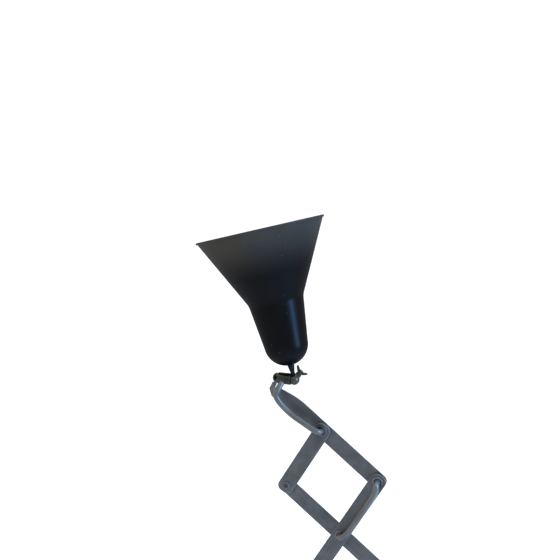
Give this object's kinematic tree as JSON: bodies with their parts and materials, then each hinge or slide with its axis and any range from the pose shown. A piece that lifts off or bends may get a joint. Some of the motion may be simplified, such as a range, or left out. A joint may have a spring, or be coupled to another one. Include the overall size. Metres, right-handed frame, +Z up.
{
  "type": "desk lamp",
  "caption": "Scissor-arm desk lamp with a funnel shade facing up, a lead threaded through the hollow rivets, and a round weighted base.",
  "frame": {"origin": "centre of the base's underside, on the desk", "axes": "+Z up; the scissor arm lies in the XZ plane and leans to -X at rest; the reader sits on the -Y side; the lead leaves the base on the +Y side"},
  "size_m": [0.3253, 0.3845, 0.743],
  "materials": {
    "lead_jacket": "satin grey flexible PVC",
    "felt": "dark pressed felt",
    "iron": "as cast",
    "black_enamel": "glossy black stove enamel",
    "arm_steel": "matt dark zinc-grey, lightly patinated",
    "rivet_steel": "bright rolled steel",
    "dark_metal": "blued, worn at the edges",
    "plated_steel": "dull plated",
    "rubber": "moulded",
    "moulded_black": "moulded phenolic",
    "fibre": "pressed fibre",
    "holder_brass": "drawn",
    "ceramic": "glazed",
    "bulb_cap": "drawn",
    "bulb_glass": "frosted inside"
  },
  "bodies": {
    "base": {"foot_pad": "felt", "foot_weight": "iron", "base_cover": "black_enamel", "post": "plated_steel", "post_collar": "dark_metal", "post_nut": "plated_steel", "cord_gland": "rubber", "base_lead": "lead_jacket", "switch_body": "moulded_black", "switch_nut": "plated_steel", "supply_cord": "lead_jacket", "cord_coil": "lead_jacket", "cord_tail": "lead_jacket", "plug_body": "rubber", "plug_pins": "plated_steel"},
    "toggle": {"switch_lever": "plated_steel"},
    "turret": {"pivot_fork": "dark_metal", "fork_lead": "lead_jacket", "fork_screw": "dark_metal"},
    "pivot": {"pivot_tube": "plated_steel", "rear_ring_nut": "dark_metal", "pivot_washers": "rivet_steel"},
    "lock_ring": {"lock_ring": "dark_metal"},
    "lower_front": {"lower_front_half": "arm_steel", "lower_front_half_rivets": "rivet_steel", "lower_front_half_lead": "lead_jacket"},
    "lower_back": {"lower_back_half": "arm_steel", "lower_back_half_rivets": "rivet_steel"},
    "front_1": {"front_bar_1": "arm_steel", "front_bar_1_rivets": "rivet_steel", "front_bar_1_lead": "lead_jacket"},
    "back_1": {"back_bar_1": "arm_steel", "back_bar_1_rivets": "rivet_steel", "back_bar_1_lead": "lead_jacket"},
    "front_2": {"front_bar_2": "arm_steel", "front_bar_2_rivets": "rivet_steel", "front_bar_2_lead": "lead_jacket"},
    "back_2": {"back_bar_2": "arm_steel", "back_bar_2_rivets": "rivet_steel", "back_bar_2_lead": "lead_jacket"},
    "upper_front": {"upper_front_half": "arm_steel"},
    "head_bar": {"head_bar": "arm_steel", "head_bar_rivets": "rivet_steel", "head_bar_lead": "lead_jacket", "head_lead": "lead_jacket", "hub_bolt": "dark_metal", "hub_washer": "fibre"},
    "knuckle": {"knuckle": "dark_metal"},
    "thumb_screw": {"thumb_screw": "dark_metal"},
    "head": {"stem": "dark_metal", "stem_nut": "plated_steel", "shade": "black_enamel", "holder_cap": "moulded_black", "holder_shell": "moulded_black", "holder_thread": "holder_brass", "holder_insert": "ceramic", "bulb_cap": "bulb_cap", "bulb_glass": "bulb_glass"}
  },
  "joints": [
    {"name": "switch_toggle", "type": "hinge", "parent": "base", "child": "toggle", "pos_m": [0.038, -0.058, 0.024], "axis": [0, 1, 0], "range_deg": [0, 28]},
    {"name": "base_swivel", "type": "hinge", "parent": "base", "child": "turret", "pos_m": [0, 0, 0.07], "axis": [0, 0, 1], "range_deg": [-170, 170]},
    {"name": "arm_lean", "type": "hinge", "parent": "turret", "child": "pivot", "pos_m": [0, 0, 0.118], "axis": [0, 1, 0], "range_deg": [-25, 45]},
    {"name": "lock_ring_turn", "type": "hinge", "parent": "pivot", "child": "lock_ring", "pos_m": [0, 0, 0.118], "axis": [0, -1, 0], "range_deg": [0, 180]},
    {"name": "scissor_fold", "type": "hinge", "parent": "pivot", "child": "lower_front", "pos_m": [0, 0, 0.118], "axis": [0, 1, 0], "range_deg": [-20, 20]},
    {"name": "lower_back_swing", "type": "hinge", "parent": "pivot", "child": "lower_back", "pos_m": [0, 0, 0.118], "axis": [0, 1, 0], "range_deg": [-20, 20]},
    {"name": "left_elbow_3", "type": "hinge", "parent": "lower_back", "child": "front_1", "pos_m": [-0.06689, 0, 0.17045], "axis": [0, 1, 0], "range_deg": [-40, 40]},
    {"name": "right_elbow_3", "type": "hinge", "parent": "lower_front", "child": "back_1", "pos_m": [0.0434, 0, 0.19109], "axis": [0, 1, 0], "range_deg": [-40, 40]},
    {"name": "right_elbow_2", "type": "hinge", "parent": "front_1", "child": "back_2", "pos_m": [0.0199, 0, 0.31662], "axis": [0, 1, 0], "range_deg": [-40, 40]},
    {"name": "left_elbow_2", "type": "hinge", "parent": "back_1", "child": "front_2", "pos_m": [-0.09038, 0, 0.29598], "axis": [0, 1, 0], "range_deg": [-40, 40]},
    {"name": "left_elbow_1", "type": "hinge", "parent": "back_2", "child": "upper_front", "pos_m": [-0.11388, 0, 0.42152], "axis": [0, 1, 0], "range_deg": [-40, 40]},
    {"name": "right_elbow_1", "type": "hinge", "parent": "front_2", "child": "head_bar", "pos_m": [-0.00359, 0, 0.44216], "axis": [0, 1, 0], "range_deg": [-40, 40]},
    {"name": "hub_turn", "type": "hinge", "parent": "head_bar", "child": "knuckle", "pos_m": [-0.12528, 0, 0.55231], "axis": [1, 0, 0], "range_deg": [-35, 80]},
    {"name": "thumb_screw_turn", "type": "hinge", "parent": "knuckle", "child": "thumb_screw", "pos_m": [-0.10488, 0, 0.55231], "axis": [0.6018, 0.0876, 0.7938], "range_deg": [0, 180]},
    {"name": "head_tilt", "type": "hinge", "parent": "knuckle", "child": "head", "pos_m": [-0.10488, 0, 0.55231], "axis": [0, 0.994, -0.1097], "range_deg": [-20, 7]}
  ],
  "couplings": [
    {"joint": "lower_back_swing", "follows": "scissor_fold", "ratio": -1},
    {"joint": "left_elbow_3", "follows": "scissor_fold", "ratio": 2},
    {"joint": "right_elbow_3", "follows": "scissor_fold", "ratio": -2},
    {"joint": "right_elbow_2", "follows": "scissor_fold", "ratio": -2},
    {"joint": "left_elbow_2", "follows": "scissor_fold", "ratio": 2},
    {"joint": "left_elbow_1", "follows": "scissor_fold", "ratio": 2},
    {"joint": "right_elbow_1", "follows": "scissor_fold", "ratio": -2}
  ]
}
